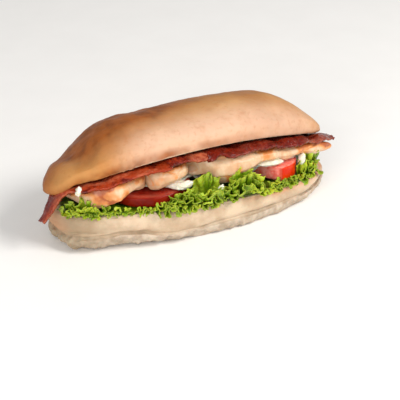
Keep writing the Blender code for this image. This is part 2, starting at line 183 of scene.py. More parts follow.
def sheet_object(name, surface, thickness, attributes):
    """A closed thin solid from an (along, across, 3) grid. thickness may be an array."""
    du = np.gradient(surface, axis=0)
    dv = np.gradient(surface, axis=1)
    normal = np.cross(du, dv)
    normal /= np.maximum(np.linalg.norm(normal, axis=2), 1e-9)[..., None]
    half = np.broadcast_to(thickness, surface.shape[:2])[..., None] / 2
    upper, lower = surface + normal * half, surface - normal * half
    nu, nv = surface.shape[:2]
    index = np.arange(nu * nv).reshape(nu, nv)
    a, b, c, d = index[:-1, :-1], index[1:, :-1], index[1:, 1:], index[:-1, 1:]
    top = np.stack([a, b, c, d], -1).reshape(-1, 4)
    bottom = np.stack([a, d, c, b], -1).reshape(-1, 4) + nu * nv
    edge = np.concatenate([index[:, 0], index[-1, 1:], index[-2::-1, -1], index[0, -2:0:-1]])
    ahead = np.roll(edge, -1)
    rim = np.stack([ahead, edge, edge + nu * nv, ahead + nu * nv], -1)
    faces = np.concatenate([top, bottom, rim])
    points = np.concatenate([upper.reshape(-1, 3), lower.reshape(-1, 3)])
    doubled = {key: np.concatenate([v.ravel(), v.ravel()]) for key, v in attributes.items()}
    return mesh_object(name, points, faces, doubled)


def remeshed_points(node, voxel, rounds):
    """Points and quads of a copy of a CAD node, remade from cubes of size voxel and smoothed."""
    copy = bpy.data.objects.new("copy_of_" + node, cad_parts[node].data.copy())
    bpy.context.scene.collection.objects.link(copy)
    remesh = copy.modifiers.new("remesh", "REMESH")
    remesh.mode = "VOXEL"
    remesh.voxel_size = voxel * MM
    smooth = copy.modifiers.new("smooth", "SMOOTH")
    smooth.factor = 0.5
    smooth.iterations = rounds
    bpy.context.view_layer.update()
    fine = copy.evaluated_get(bpy.context.evaluated_depsgraph_get()).to_mesh()
    points = np.empty(len(fine.vertices) * 3)
    fine.vertices.foreach_get("co", points)
    quads = np.array([p.vertices[:] for p in fine.polygons])
    bpy.data.objects.remove(copy)
    return points.reshape(-1, 3) / MM, quads


def fine_normals(points, quads):
    return normals_of(points, np.concatenate([quads[:, [0, 1, 2]], quads[:, [0, 2, 3]]]))


def finish_piece(obj, material, slot, *nodes):
    """Gives a piece its look and body. It stands for the CAD nodes that are named, which are hidden."""
    obj.data.materials.append(material)
    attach(obj, "root")
    if nodes:
        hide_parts(*nodes)


# Materials

NOISE_ROUGHNESS = 0.55
MIX_FACTOR, MIX_A, MIX_B, MIX_RESULT = 0, 6, 7, 2  # sockets of a Mix node that mixes colours


def linear_colour(values):
    """A linear colour with full alpha, from the usual 0 to 255 values."""
    shares = [value / 255 for value in values]
    return (*(v / 12.92 if v <= 0.04045 else ((v + 0.055) / 1.055) ** 2.4 for v in shares), 1.0)


class Shader:
    """A material's nodes, added one call at a time."""

    def __init__(self, name):
        self.material = bpy.data.materials.new(name)
        self.material.use_nodes = True
        self.tree = self.material.node_tree
        self.out = self.tree.nodes["Principled BSDF"]
        self.place = self.tree.nodes.new("ShaderNodeTexCoord").outputs["Object"]

    def node(self, kind, **settings):
        made = self.tree.nodes.new(kind)
        for key, value in settings.items():
            setattr(made, key, value)
        return made

    def link(self, source, target):
        if isinstance(source, bpy.types.NodeSocket):
            self.tree.links.new(source, target)
        else:
            target.default_value = source

    def attribute(self, name):
        return self.node("ShaderNodeAttribute", attribute_name=name).outputs["Fac"]

    def noise(self, size, detail, stretch=(1, 1, 1)):
        """Noise from 0 to 1 with lumps about size millimetres across."""
        mapping = self.node("ShaderNodeMapping")
        mapping.inputs["Scale"].default_value = [1 / (size * MM * s) for s in stretch]
        self.link(self.place, mapping.inputs["Vector"])
        made = self.node("ShaderNodeTexNoise")
        self.link(mapping.outputs["Vector"], made.inputs["Vector"])
        made.inputs["Scale"].default_value = 1.0
        made.inputs["Detail"].default_value = detail
        made.inputs["Roughness"].default_value = NOISE_ROUGHNESS
        return made.outputs["Fac"]

    def range(self, value, low, high, to_low=0.0, to_high=1.0):
        """Goes softly from to_low where value is low to to_high where it is high."""
        made = self.node("ShaderNodeMapRange", interpolation_type="SMOOTHSTEP")
        self.link(value, made.inputs["Value"])
        made.inputs["From Min"].default_value = low
        made.inputs["From Max"].default_value = high
        made.inputs["To Min"].default_value = to_low
        made.inputs["To Max"].default_value = to_high
        return made.outputs["Result"]

    def mix(self, share, a, b):
        """Colour a where share is 0 and b where it is 1. Colours are sockets or 0 to 255 values."""
        made = self.node("ShaderNodeMix", data_type="RGBA")
        self.link(share, made.inputs[MIX_FACTOR])
        for given, socket in ((a, made.inputs[MIX_A]), (b, made.inputs[MIX_B])):
            self.link(given if isinstance(given, bpy.types.NodeSocket) else linear_colour(given), socket)
        return made.outputs[MIX_RESULT]

    def mottled(self, size, a, b, detail=4, low=0.35, high=0.65):
        """Colours a and b in soft patches about size millimetres across."""
        return self.mix(self.range(self.noise(size, detail), low, high), a, b)

    def tinted(self, base, where, most, tint):
        """The colour base, which takes on tint by the share most where the value where is 1."""
        share = self.node("ShaderNodeMath", operation="MULTIPLY")
        self.link(where, share.inputs[0])
        self.link(most, share.inputs[1])
        return self.mix(share.outputs[0], base, tint)

    def bump(self, height, distance, strength, before=None):
        """A bumpy normal, distance millimetres high, on top of the one before."""
        made = self.node("ShaderNodeBump")
        made.inputs["Strength"].default_value = strength
        made.inputs["Distance"].default_value = distance * MM
        self.link(height, made.inputs["Height"])
        if before is not None:
            self.link(before, made.inputs["Normal"])
        return made.outputs["Normal"]

    def finish(self, base, roughness, normal=None, **constants):
        """The finished material. A constant is named like its socket, with _ for a space."""
        self.link(base, self.out.inputs["Base Color"])
        self.link(roughness, self.out.inputs["Roughness"])
        if normal is not None:
            self.link(normal, self.out.inputs["Normal"])
        for key, value in constants.items():
            self.out.inputs[key.replace("_", " ")].default_value = value
        return self.material


# The forms of the bread, as in the solids' source

# Height of the heel's cut face at places along X
HEEL_TOP = ((-102, 24.0), (-60, 25.6), (0, 22.4), (40, 19.5), (65, 17.2), (102, 13.0))
# (latitude in degrees, share of the plan's size, height)
HEEL_PROFILE = (
    (-90, 0.00, 0.0),
    (-60, 0.84, 0.0),
    (-50, 0.915, 0.9),
    (-40, 0.962, 3.0),
    (-30, 0.990, 5.6),
    (-20, 0.990, 7.8),
    (-10, 0.962, 9.0),
    (0, 0.975, 10.6),
    (10, 0.990, 13.2),
    (20, 0.990, 16.4),
    (30, 0.980, 19.4),
    (40, 0.965, 21.4),
    (50, 0.935, 22.5),
    (60, 0.850, 22.5),
    (90, 0.00, 22.5),
)
HEEL_NOMINAL = 22.5
HEEL_CREASE = 9.0
HEEL_SIZE = (101.0, 44.3)  # half its length and width
HEEL_POWERS = (2.25, 2.25)  # of its plan's ends and sides, where 2 is an ellipse
HEEL_UNDERCUT = (-56, 42, 8.0)  # place along X, width and depth, where its front draws in below
HEEL_CORNER = (-90, -22, 15, 4.5)  # place along X and Y, width and reach, where it swells below
CROWN_SIZE = (100.0, 40.0)  # the same for the crown
CROWN_POWERS = (2.3, 2.2)
# (place along X, thickness)
CROWN_THICKNESS = (
    (-103, 21),
    (-86, 22),
    (-60, 28.6),
    (-30, 26.4),
    (0, 26.3),
    (40, 28.2),
    (70, 27.0),
    (97, 15),
)
# (latitude in degrees, share of the plan's size, share of the thickness)
CROWN_UNDERSIDE = (
    (-90, 0.00, 0.00),
    (-45, 0.90, 0.00),
    (-30, 0.962, 0.01),
    (-18, 0.988, 0.06),
    (-8, 1.000, 0.13),
    (0, 1.000, 0.20),
)
CROWN_TILT = math.radians(17)
CROWN_X, CROWN_Y = -3.2, -1.5
CROWN_LIP = 0.2  # share of the thickness at which the crown is widest
CROWN_DOME_POWERS = (2.8, 2.2)  # of the dome's ends and sides
CROWN_DOME_POWER = 0.56
CROWN_CUT_HEIGHT = 49.5
CROWN_ARCH = 9.5  # how far the cut face falls at ARCH_SPAN from the middle
ARCH_SPAN = 85
CROWN_LEAN = 2.8  # how much lower the right end is there
LETTUCE_BED = 2.2  # thickness of the lettuce under the other pieces, at the middle
LETTUCE_SLOPE = 0.02  # how much thicker it gets for each millimetre towards the front
RIM_LENGTH, RIM_WIDTH = 199, 86  # the edge of the heel's cut face, over which the lettuce reaches
BACON_ZONE = 5.2  # room that the rashers take under the crown
BACON_THICKNESS = 2.0
BREAD_AROUND = 440  # points around each half of the bread

heel_top = smooth_curve(HEEL_TOP)
heel_share = smooth_curve([(a, s) for a, s, _ in HEEL_PROFILE])
heel_height = smooth_curve([(a, h) for a, _, h in HEEL_PROFILE])
crown_thickness = smooth_curve(CROWN_THICKNESS)
crown_share = smooth_curve([(a, s) for a, s, _ in CROWN_UNDERSIDE])
crown_height = smooth_curve([(a, h) for a, _, h in CROWN_UNDERSIDE])


def crown_cut(x, y):
    """Height of the crown's cut face, which arches along X and is higher at the front."""
    share = x / ARCH_SPAN
    middle = CROWN_CUT_HEIGHT - CROWN_ARCH * share**2 - CROWN_LEAN * share
    return middle - (y - CROWN_Y) * math.tan(CROWN_TILT)


def rim(x):
    """How far the edge of the heel's cut face is from the middle line."""
    return RIM_WIDTH / 2 * np.sqrt(np.maximum(0.04, 1 - (2 * x / RIM_LENGTH) ** 2))


def lettuce_top(x, y):
    """Height of the lettuce under the other fillings, which is thicker towards the front."""
    return heel_top(x) + LETTUCE_BED - LETTUCE_SLOPE * y


def plan_points(angle, size, share, powers):
    """Points of a rounded oblong of half sizes size, drawn in to share of it."""
    c, s = np.cos(angle), np.sin(angle)
    x = np.copysign(size[0] * np.abs(c) ** (2 / powers[0]), c) * share
    y = np.copysign(size[1] * np.abs(s) ** (2 / powers[1]), s) * share
    return x, y


def heel():
    lon, lat, triangles = ball_grid(BREAD_AROUND, rings((-88, -56, 12), (-56, 54, 120), (54, 89, 20)))
    degrees = np.degrees(lat)
    x, y = plan_points(lon, HEEL_SIZE, heel_share(degrees), HEEL_POWERS)
    z = np.clip(heel_height(degrees), 0.0, HEEL_NOMINAL)
    # Above its crease the heel is as high as its cut face says.
    above = np.maximum(0.0, z - HEEL_CREASE)
    z = z + above / (HEEL_NOMINAL - HEEL_CREASE) * (heel_top(x) - HEEL_NOMINAL)
    side = (degrees > -55) & (degrees < 45)
    push = 1 + 0.022 * soft_noise(np.stack([x, y, 2 * z], 1), 17) * side
    x, y = x * push, y * push
    z = z + 1.2 * soft_noise(np.stack([x, y, 50 + 0 * x], 1), 24) * bump_at(degrees + 10, 14) * side
    # Its front draws in below the crease, and its left front corner swells out.
    below = np.maximum(0.0, 1 - z / HEEL_CREASE)
    place, width, depth = HEEL_UNDERCUT
    draw_in = depth * bump_at(x - place, width) * below**1.3 * smoothstep(0, -30, y)
    corner_x, corner_y, width, reach = HEEL_CORNER
    corner = reach * bump_at(x - corner_x, width) * bump_at(y - corner_y, width) * smoothstep(13, 8, z)
    x, y = x - corner, y + draw_in - 0.2 * corner
    # The crease wanders, and it is higher at the left.
    line = layered_noise(np.stack([x, y, 0 * z], 1), 30, 3, 61)
    rise = 3.6 * smoothstep(-30, -70, x) * smoothstep(-104, -88, x) + 1.3 * line
    z = z + rise * bump_at(z - HEEL_CREASE, 5) * side
    meander = HEEL_CREASE + rise
    points = np.stack([x, y, z], 1)
    normal = normals_of(points, triangles)
    wall = smoothstep(-58, -46, degrees) * smoothstep(52, 40, degrees)
    lower = wall * smoothstep(1.2, -1.2, z - meander)
    upper = wall - lower
    # The lower band is drawn into upright wrinkles and the upper one is gently uneven.
    wrinkle = layered_noise(points, 4.2, 3, 3, stretch=(1, 1, 3.2))
    broad = layered_noise(points, 22.0, 3, 9, stretch=(1, 1, 0.8))
    dent = layered_noise(points, 7.0, 3, 13)
    fine = layered_noise(points, 1.6, 3, 21)
    # The crease mask sinks the surface there and, in the material, darkens it as painted shade.
    crease = bump_at(z - meander, 0.9) * wall * (0.6 + 0.9 * layered_noise(points, 12, 2, 41))
    crease = np.clip(crease, 0, 1) * smoothstep(-92, -70, x)
    pinch = bump_at(x + 52, 5) * smoothstep(-20, -36, y) * bump_at(z - meander, 4)
    deeper = 1.3 + 0.8 * smoothstep(30, -30, x)
    shift = lower * (deeper * wrinkle + 0.35 * dent + 0.12 * fine)
    shift = shift + upper * (0.9 * broad + 0.35 * dent + 0.12 * wrinkle + 0.07 * fine)
    shift = shift - (1.2 + 0.6 * bump_at(x + 30, 30)) * crease - 1.6 * pinch
    points = points + normal * shift[:, None]
    points[:, 2] = np.maximum(points[:, 2], 0.0)
    cut = smoothstep(44, 52, degrees)
    edge = bump_at(degrees - 38, 11)
    toast = edge * smoothstep(0, 55, x) * (0.75 + 0.5 * layered_noise(points, 7, 3, 51))
    toast = toast + 0.5 * smoothstep(-94, -100, x) * upper
    # Painted shade: the left end of the wall is coloured greyer and darker.
    left_end_painted_shade = wall * smoothstep(-62, -96, x)
    attributes = {
        "cut": cut,
        "toast": np.clip(toast, 0, 1),
        "lower": lower,
        "crease": crease,
        "left_end_painted_shade": left_end_painted_shade,
    }
    obj = mesh_object("heel_crust", points, triangles, attributes)
    finish_piece(obj, heel_material(), "pale_crust", "roll_heel")


def crown():
    spans = rings((-88, -30, 20), (-30, 0, 30), (0, 6, 14), (6, 89, 130))
    lon, lat, triangles = ball_grid(BREAD_AROUND, spans)
    degrees = np.degrees(lat)
    share = np.where(degrees < 0, crown_share(degrees), np.abs(np.cos(lat)) ** 0.85)
    x, y = plan_points(lon, CROWN_SIZE, share, CROWN_POWERS)
    end = np.abs(x / CROWN_SIZE[0]) ** CROWN_DOME_POWERS[0]
    side = np.abs(y / CROWN_SIZE[1]) ** CROWN_DOME_POWERS[1]
    dome = (1 - CROWN_LIP) * np.maximum(0.0, 1 - end - side) ** CROWN_DOME_POWER
    dome = CROWN_LIP + dome * smoothstep(-0.6, 5, degrees) ** 0.7
    height = np.where(degrees < 0, np.maximum(0.0, crown_height(degrees)), dome)
    along = x + CROWN_X
    z = crown_thickness(along) * height
    # A saddle behind the left end, uneven rises and a hump at the right
    z = z - 3.0 * bump_at(along + 85, 9) * smoothstep(0.25, 0.7, height)
    z = z + 1.4 * soft_noise(np.stack([x, y, 80 + 0 * x], 1), 30) * smoothstep(0.1, 0.5, height)
    z = z + 1.3 * bump_at(along - 66, 22) * smoothstep(0.3, 0.8, height)
    foot = CROWN_Y + y * math.cos(CROWN_TILT)
    across = foot + z * math.sin(CROWN_TILT)
    # The left end droops over the bacon.
    droop = 5.0 * smoothstep(-90, -101, along) * (1 - 0.8 * np.clip(height, 0, 1))
    raised = crown_cut(along, foot) + z * math.cos(CROWN_TILT) - droop
    points = np.stack([along, across, raised], 1)
    normal = normals_of(points, triangles)
    skin = smoothstep(-38, -27, degrees)
    # Broad dents, a few folds over the left shoulder and a finely dimpled skin
    broad = layered_noise(points, 24.0, 3, 5)
    folds = layered_noise(points, 8.0, 2, 15, stretch=(0.7, 2.6, 2.6))
    folded = bump_at(along + 58, 30)
    lumps = layered_noise(points, 7.0, 3, 19)
    fine = layered_noise(points, 1.8, 3, 25)
    # Small ripples over the front edge, left of the middle
    ripples = np.sin(1.25 * along + 2 * lumps) * bump_at(along + 58, 15) * smoothstep(0.6, 0.2, height)
    ripples = 0.3 * ripples * smoothstep(-20, -34, across)
    shift = skin * (0.6 * broad + 0.6 * folded * folds + 0.26 * lumps + 0.07 * fine + ripples)
    points = points + normal * shift[:, None]
    # Painted shadow and painted reflection of the bacon along the crown's lower front edge, stronger at the
    # left; it is added to toast.
    edge = smoothstep(0.28, 0.1, height) * smoothstep(-30, -20, degrees) * smoothstep(0, -8, across)
    lip_painted_shadow = edge * (0.65 + 0.6 * layered_noise(points, 9, 3, 35)) * (0.3 + 0.7 * smoothstep(40, -30, along))
    # The browner back comes further forward over the left shoulder.
    forward = 8 * smoothstep(0, -35, along) * smoothstep(-94, -74, along)
    rear = smoothstep(-24, 14, across + forward) * (0.6 + 0.9 * smoothstep(20, -45, along))
    left = 0.1 * smoothstep(-30, -85, along)
    uneven = layered_noise(points, 20, 4, 45)
    toast = (rear + left + 0.9 * lip_painted_shadow + 0.3 * uneven) * (1 - 0.45 * smoothstep(-78, -96, along))
    # A paler band over the lower front, left of the middle: part paler crust, part painted highlight.
    pale = bump_at(across + 34, 16) * smoothstep(-82, -48, along)
    attributes = {"cut": 1 - skin, "toast": np.clip(toast, 0, 1), "pale": np.clip(pale, 0, 1)}
    obj = mesh_object("crown_crust", points, triangles, attributes)
    finish_piece(obj, crown_material(), "crust", "roll_crown")


def heel_material():
    s = Shader("heel_crust")
    cream = s.mottled(16, (188, 161, 132), (211, 188, 160))
    flour = s.mottled(5, (168, 148, 126), (200, 183, 162), low=0.3, high=0.7)
    base = s.mix(s.attribute("lower"), cream, flour)
    spots = s.range(s.noise(2.4, 4), 0.55, 0.75)
    base = s.tinted(base, spots, 0.2, (166, 138, 104))
    # Painted shade darkens the crease.
    base = s.tinted(base, s.attribute("crease"), 0.5, (136, 108, 74))
    # Painted shade greys and darkens the left end of the wall.
    base = s.tinted(base, s.attribute("left_end_painted_shade"), 0.6, (140, 118, 86))
    base = s.tinted(base, s.attribute("toast"), 0.85, (206, 136, 88))
    crumb = s.mottled(1.6, (212, 198, 156), (188, 166, 116), detail=3, low=0.4, high=0.62)
    base = s.mix(s.attribute("cut"), base, crumb)
    grain = s.bump(s.noise(0.8, 3), 0.25, 0.5)
    normal = s.bump(s.noise(3.2, 4), 0.8, 0.5, grain)
    return s.finish(base, 0.7, normal, Subsurface_Weight=0.1, Subsurface_Scale=0.004)


def crown_material():
    s = Shader("crown_crust")
    tan = s.mottled(24, (190, 133, 72), (204, 151, 92))
    # The paler band, in part a painted highlight.
    base = s.tinted(tan, s.attribute("pale"), 0.85, (214, 176, 150))
    brown = s.mottled(9, (152, 78, 22), (112, 50, 8), low=0.35, high=0.7)
    # toast holds the crust's browning and the painted shadow along the lip.
    base = s.tinted(base, s.attribute("toast"), 0.9, brown)
    cloud = s.range(s.noise(11, 4), 0.5, 0.8)
    base = s.tinted(base, cloud, 0.35, (170, 104, 50))
    mottle = s.range(s.noise(3.0, 5), 0.5, 0.75)
    base = s.tinted(base, mottle, 0.25, (164, 98, 46))
    crumb = s.mottled(1.6, (232, 216, 186), (206, 182, 140), detail=3, low=0.4, high=0.62)
    base = s.mix(s.attribute("cut"), base, crumb)
    rough = s.range(s.noise(12, 3), 0.3, 0.7, 0.38, 0.52)
    normal = s.bump(s.noise(1.4, 4), 0.16, 0.5)
    return s.finish(base, rough, normal, Subsurface_Weight=0.06, Subsurface_Scale=0.004,
                    Specular_IOR_Level=0.12)


# Bacon

# The two edges of each rasher run through stations (x, y, drop below the middle of the bacon's
# room). Its points crowd at its left end where crowding is above 1.
RASHERS = {
    "bacon_left": {
        "front": (
            (-111, -17, 12.0),
            (-107, -17, 8.0),
            (-102, -17, 3.5),
            (-98, -18, 0.5),
            (-88, -25, 0.5),
            (-70, -33, 1.0),
            (-50, -38.5, 1.0),
            (-34.5, -40, 1.0),
        ),
        "back": (
            (-113.5, -7, 12.5),
            (-109.5, -7, 8.5),
            (-104, -4, 4.0),
            (-98, 0, 1.5),
            (-88, 0, 0),
            (-70, -5, 0),
            (-34.5, -9, 0),
        ),
        "crowding": 1.35,
        "phase": 0.4,
    },
    "bacon_middle": {
        "front": ((-36, -39, 0.5), (-22, -40, 0.5), (-9, -39, 0.5)),
        "back": ((-36, -9, 0), (-22, -9, 0), (-9, -9, 0)),
        "crowding": 1.0,
        "phase": 1.0,
    },
    "bacon_right": {
        "front": (
            (-11, -39, 1.5),
            (0, -40.5, 1.8),
            (30, -40, 1.2),
            (60, -35, 1),
            (85, -26, 0),
            (103, -18, 0),
        ),
        "back": ((-11, -9, 0), (30, -8, 0), (60, -4, 0), (85, 0, 0), (103, -6, 0)),
        "crowding": 1.0,
        "phase": 2.1,
    },
    "bacon_back_left": {
        "front": ((-92, 2.5, 0), (-70, -3, 0), (-3, -7, 0)),
        "back": ((-92, 10, 0), (-70, 24, 0), (-40, 32, 0), (-3, 34, 0.5)),
        "crowding": 1.0,
        "phase": 3.0,
    },
    "bacon_back_right": {
        "front": ((-1.5, -7, 0), (30, -6, 0), (60, -2, 0), (88, 3, 0)),
        "back": ((-1.5, 34, 0.5), (40, 33, 0), (70, 25, 0), (88, 12, 0)),
        "crowding": 1.0,
        "phase": 4.2,
    },
}
RASHER_STEP, RASHER_ROWS = 0.42, 72  # distance of its points along X, and their number across
CURL_WIDTH = 6.0  # how much of a rasher curls down
# How far the edge in view curls down at places along X, and how far that of the rashers behind
BACON_CURL = smooth_curve((
    (-104, 2), (-90, 3.0), (-40, 3.2), (-20, 3.6), (-6, 5), (30, 4.6), (60, 4), (85, 3), (103, 1.5),
))
BACK_CURL = 1.5


def rasher(node, material):
    """A rasher between its two edges, wavy, curled down at the edge in view and streaked with fat."""
    front, back, crowding, phase = RASHERS[node].values()
    seed = int(10 * phase)
    length = abs(front[-1][0] - front[0][0])
    u = np.linspace(0, 1, int(length / RASHER_STEP)) ** crowding
    v = np.linspace(0, 1, RASHER_ROWS)
    curves = []
    for stations in (front, back):
        x = stations[0][0] + (stations[-1][0] - stations[0][0]) * u
        place = smooth_curve([(s[0], s[1]) for s in stations])
        drop = smooth_curve([(s[0], s[2]) for s in stations])
        curves.append(np.stack([x, place(x), drop(x)], 1))
    # Both edges wander, most of all the one in view at the front.
    zero = 0 * u
    line = np.stack([curves[0][:, 0], zero, zero + 3 * seed], 1)
    wander = 1.3 * layered_noise(line, 7, 3, seed) + 0.5 * layered_noise(line, 1.8, 2, seed + 5)
    at_front = not node.startswith("bacon_back")
    curves[0][:, 1] += wander * (1.0 if at_front else 0.4)
    curves[1][:, 1] -= wander[::-1] * (0.4 if at_front else 1.0)
    share = v[None, :, None]
    mixed = curves[0][:, None] * (1 - share) + curves[1][:, None] * share
    if node == "bacon_left":
        # The hanging end narrows.
        middle = mixed.mean(axis=1, keepdims=True)
        place = middle[..., :1]
        narrow = 0.38 * smoothstep(-98, -110, place) + 0.22 * smoothstep(-106, -111, place)
        mixed = mixed + narrow * (middle - mixed)
    x, y, drop = mixed[..., 0], mixed[..., 1], mixed[..., 2]
    y = y + 0.9 * np.sin(x / 4.1 + phase) * (1 - share[..., 0])
    room = (BACON_ZONE - BACON_THICKNESS) / 2 - 0.4
    wave = 0.8 * np.sin(x / 5.2 + phase) + 0.5 * np.sin(x / 2.7 + 2 * share[..., 0])
    wave = np.clip(wave, -room, room)
    width = np.hypot(*(curves[1][:, :2] - curves[0][:, :2]).T)[:, None]
    inward = share[..., 0] * width if at_front else (1 - share[..., 0]) * width
    # The edge in view curls down, most of all on the right.
    curl = BACON_CURL(x) if at_front else BACK_CURL
    hang = curl * np.clip(1 - inward / CURL_WIDTH, 0, 1) ** 1.4
    z = crown_cut(x, y) - BACON_ZONE / 2 + wave - drop
    z = z - hang * (0.8 + 0.5 * layered_noise(np.stack([x, 0 * x, 0 * x + seed], -1), 7, 2, seed + 8))
    ends = smoothstep(0.04, 0.0, u[:, None]) - smoothstep(0.96, 1.0, u[:, None])
    x = x + 1.5 * ends * layered_noise(np.stack([0 * x, 9 * y, 0 * x + seed], -1), 20, 3, seed + 9)
    surface = np.stack([x, y, z], -1)
    lumps = layered_noise(surface, 2.8, 3, seed + 11)
    surface[..., 2] += 0.45 * lumps
    surface[..., 1] += 0.5 * layered_noise(surface, 2.4, 3, seed + 12) * smoothstep(7, 0, inward)
    thickness = BACON_THICKNESS + 0.7 * layered_noise(surface, 3.5, 3, seed + 13)
    # Streaks of fat run along the rasher, and its rind is fatty too.
    track = np.stack([x, 5.5 * share[..., 0] * width, 0 * x + 7 * seed], -1)
    fat = layered_noise(track, 26, 4, seed + 14)
    fat = smoothstep(0.08, 0.3, fat + 0.1 * lumps)
    redness = 0.5 + 0.5 * lumps
    # The left rasher is redder, the middle one has a fatty end and the right one is dark and lean.
    if node == "bacon_left":
        fat = fat * 0.6
        redness = redness + 0.3 - 0.5 * smoothstep(-96, -102, x)
    if node == "bacon_middle":
        fat = np.maximum(fat, 0.85 * smoothstep(-24, -19, x))
    if node == "bacon_right":
        fat = fat * (1 - 0.75 * smoothstep(14, 6, inward) * smoothstep(80, 60, x))
        fat = 0.55 * np.maximum(fat, 0.9 * bump_at(x - 88, 4) * smoothstep(8, 3, inward))
        redness = redness - 0.22
    pink = smoothstep(-99, -104, x) * smoothstep(1.5, 5, inward)
    attributes = {"fat": fat, "pink": pink, "lumps": np.clip(redness, 0, 1)}
    obj = sheet_object(node + "_rasher", surface, thickness, attributes)
    finish_piece(obj, material, "bacon", node)


def bacon_material():
    s = Shader("bacon_meat")
    meat = s.mottled(3.0, (90, 14, 5), (122, 28, 9))
    meat = s.mix(s.range(s.attribute("lumps"), 0.5, 0.85), meat, (156, 54, 22))
    fat = s.mottled(2.5, (200, 114, 80), (160, 66, 42), detail=3, low=0.4, high=0.65)
    base = s.tinted(meat, s.attribute("fat"), 0.7, fat)
    rosy = s.mix(s.range(s.attribute("lumps"), 0.3, 0.7), (98, 30, 28), (146, 72, 62))
    base = s.tinted(base, s.attribute("pink"), 0.9, rosy)
    rough = s.range(s.noise(1.8, 3), 0.35, 0.7, 0.1, 0.3)
    normal = s.bump(s.noise(1.3, 4), 0.55, 0.8)
    return s.finish(base, rough, normal, Subsurface_Weight=0.08, Subsurface_Scale=0.002,
                    Specular_IOR_Level=0.2, Coat_Weight=0.16, Coat_Roughness=0.05)


# Lettuce

FRILL_STEP, FRILL_ROWS = 0.17, 36  # as for the rashers
LEAF_STEP, LEAF_ROWS = 0.5, 120
LEAF_THICKNESS = 0.7
# (length of the wave, height, how late it grows towards the edge) of a frill's three sizes of fold
FOLDS = ((8.5, 1.8, 0.8), (3.9, 1.25, 1.3), (1.8, 0.7, 2.2))
# Folds that pass FRILL_FRONT are held back, and go at most FRILL_GIVE further.
FRILL_FRONT, FRILL_GIVE = 46, 4


def frill(name, node, material, start, end, base, reach, lean, curl, seed, size, facing=1):
    """A ruffled ribbon. base(x) gives its foot as y and z, and reach(x) its width.

    It leans to the front, or to the back where facing is -1. Where size is above 1, the lower
    part of the leaf stays broad and smooth.
    """
    x = np.linspace(start, end, int((end - start) / FRILL_STEP))[:, None]
    t = np.linspace(0, 1, FRILL_ROWS)[None, :]
    line = np.stack([x, 0 * x, 0 * x + 11 * seed], -1)
    y0, z0 = base(x)
    uneven = 1 + 0.45 * layered_noise(line, 9 * size, 2, seed)
    uneven = uneven + 0.16 * layered_noise(line, 2.6, 2, seed + 3)
    uneven = uneven + 0.35 * layered_noise(line, 24, 2, seed + 50)
    long = reach(x) * uneven
    angle = np.radians(lean + 30 * layered_noise(line, 12, 2, seed + 5) + curl * t)
    step = 1 / (FRILL_ROWS - 1)
    out = np.cumsum(np.cos(angle), axis=1) * step
    rise = np.cumsum(np.sin(angle), axis=1) * step
    y = y0 - facing * long * (out - out[:, :1])
    z = z0 + long * (rise - rise[:, :1])
    side, lift, ahead = 0 * y, 0 * y, 0 * y
    # Each size of fold is drawn out sideways so that it rounds over on itself.
    for k, (wave, high, power) in enumerate(FOLDS):
        phase = 2 * math.pi * x / (wave * size) + 8.0 * layered_noise(line, 1.7 * wave, 3, seed + 7 + k)
        phase = phase + (0.8 + k) * t + 1.2 * layered_noise(line + t[..., None] * 6, 5, 2, seed + 40 + k)
        growth = t ** (power * size)
        strength = high * size * growth * (1 + 0.7 * layered_noise(line, 1.5 * wave, 2, seed + 14 + k))
        strength = strength * min(1.0, size ** (-0.5 * k))
        side = side + strength * np.sin(phase)
        ahead = ahead - 0.6 * strength * np.sin(2 * phase)
        lift = lift + 0.4 * strength * np.cos(phase + 0.7)
    y = y + facing * (side * np.sin(angle) - lift * np.cos(angle))
    z = z + side * np.cos(angle) + lift * np.sin(angle)
    surface = np.stack([x + ahead, y, z], -1)
    rough = np.stack([layered_noise(surface, 1.5, 3, seed + 20 + k) for k in range(3)], -1)
    surface = surface + 0.75 * rough * (0.25 + 0.75 * t[..., None])
    over = np.maximum(0, -surface[..., 1] - FRILL_FRONT)
    surface[..., 1] += over - FRILL_GIVE * (1 - np.exp(-over / FRILL_GIVE))
    patch = 0.9 * layered_noise(surface, 11, 2, seed + 31)
    patch = patch + 0.4 * layered_noise(surface, 2.6, 3, seed + 30)
    attributes = {"edge": t + 0 * x, "vein": np.clip(0.5 + 0.6 * patch, 0, 1)}
    obj = sheet_object(name, surface, 0.5 - 0.2 * (t + 0 * x), attributes)
    finish_piece(obj, material, "lettuce", node)


def lying_leaf(name, node, material, start, end, seed):
    """The part of a leaf that lies on the heel, with a wavy edge at the back."""
    x = np.linspace(start, end, int((end - start) / LEAF_STEP))[:, None]
    v = np.linspace(0, 1, LEAF_ROWS)[None, :]
    line = np.stack([x, 0 * x, 0 * x + seed], -1)
    back = rim(x) - 7.0 + 1.6 * layered_noise(line, 6, 3, seed)
    front = 0.8 - rim(x)
    y = back + (front - back) * v
    x = x + 0 * v
    bed = heel_top(x) + (lettuce_top(x, y) - heel_top(x)) / 2
    free = smoothstep(0.13, 0.0, v)
    z = bed + 0.5 * layered_noise(np.stack([x, y, 0 * x + seed], -1), 9, 3, seed + 1)
    z = z + free * (1.2 * np.sin(x / 1.15 + 4 * layered_noise(line, 12, 2, seed + 2)) + 0.8)
    surface = np.stack([x, y, z], -1)
    attributes = {"edge": 0.55 * free + 0 * x, "vein": 0.5 + 0.5 * layered_noise(surface, 4, 3, seed + 3)}
    obj = sheet_object(name, surface, LEAF_THICKNESS, attributes)
    finish_piece(obj, material, "lettuce", node)


def at_rim(inset, lift):
    """A foot for a frill: inset from the rim, and lift above the heel's cut face."""
    return lambda x: (inset - rim(x), heel_top(x) + lift)


def at_back(inset, lift):
    """The same at the back, where the lettuce is thinner by its slope."""
    return lambda x: (rim(x) - inset, lettuce_top(x, rim(x)) - LETTUCE_BED + lift)


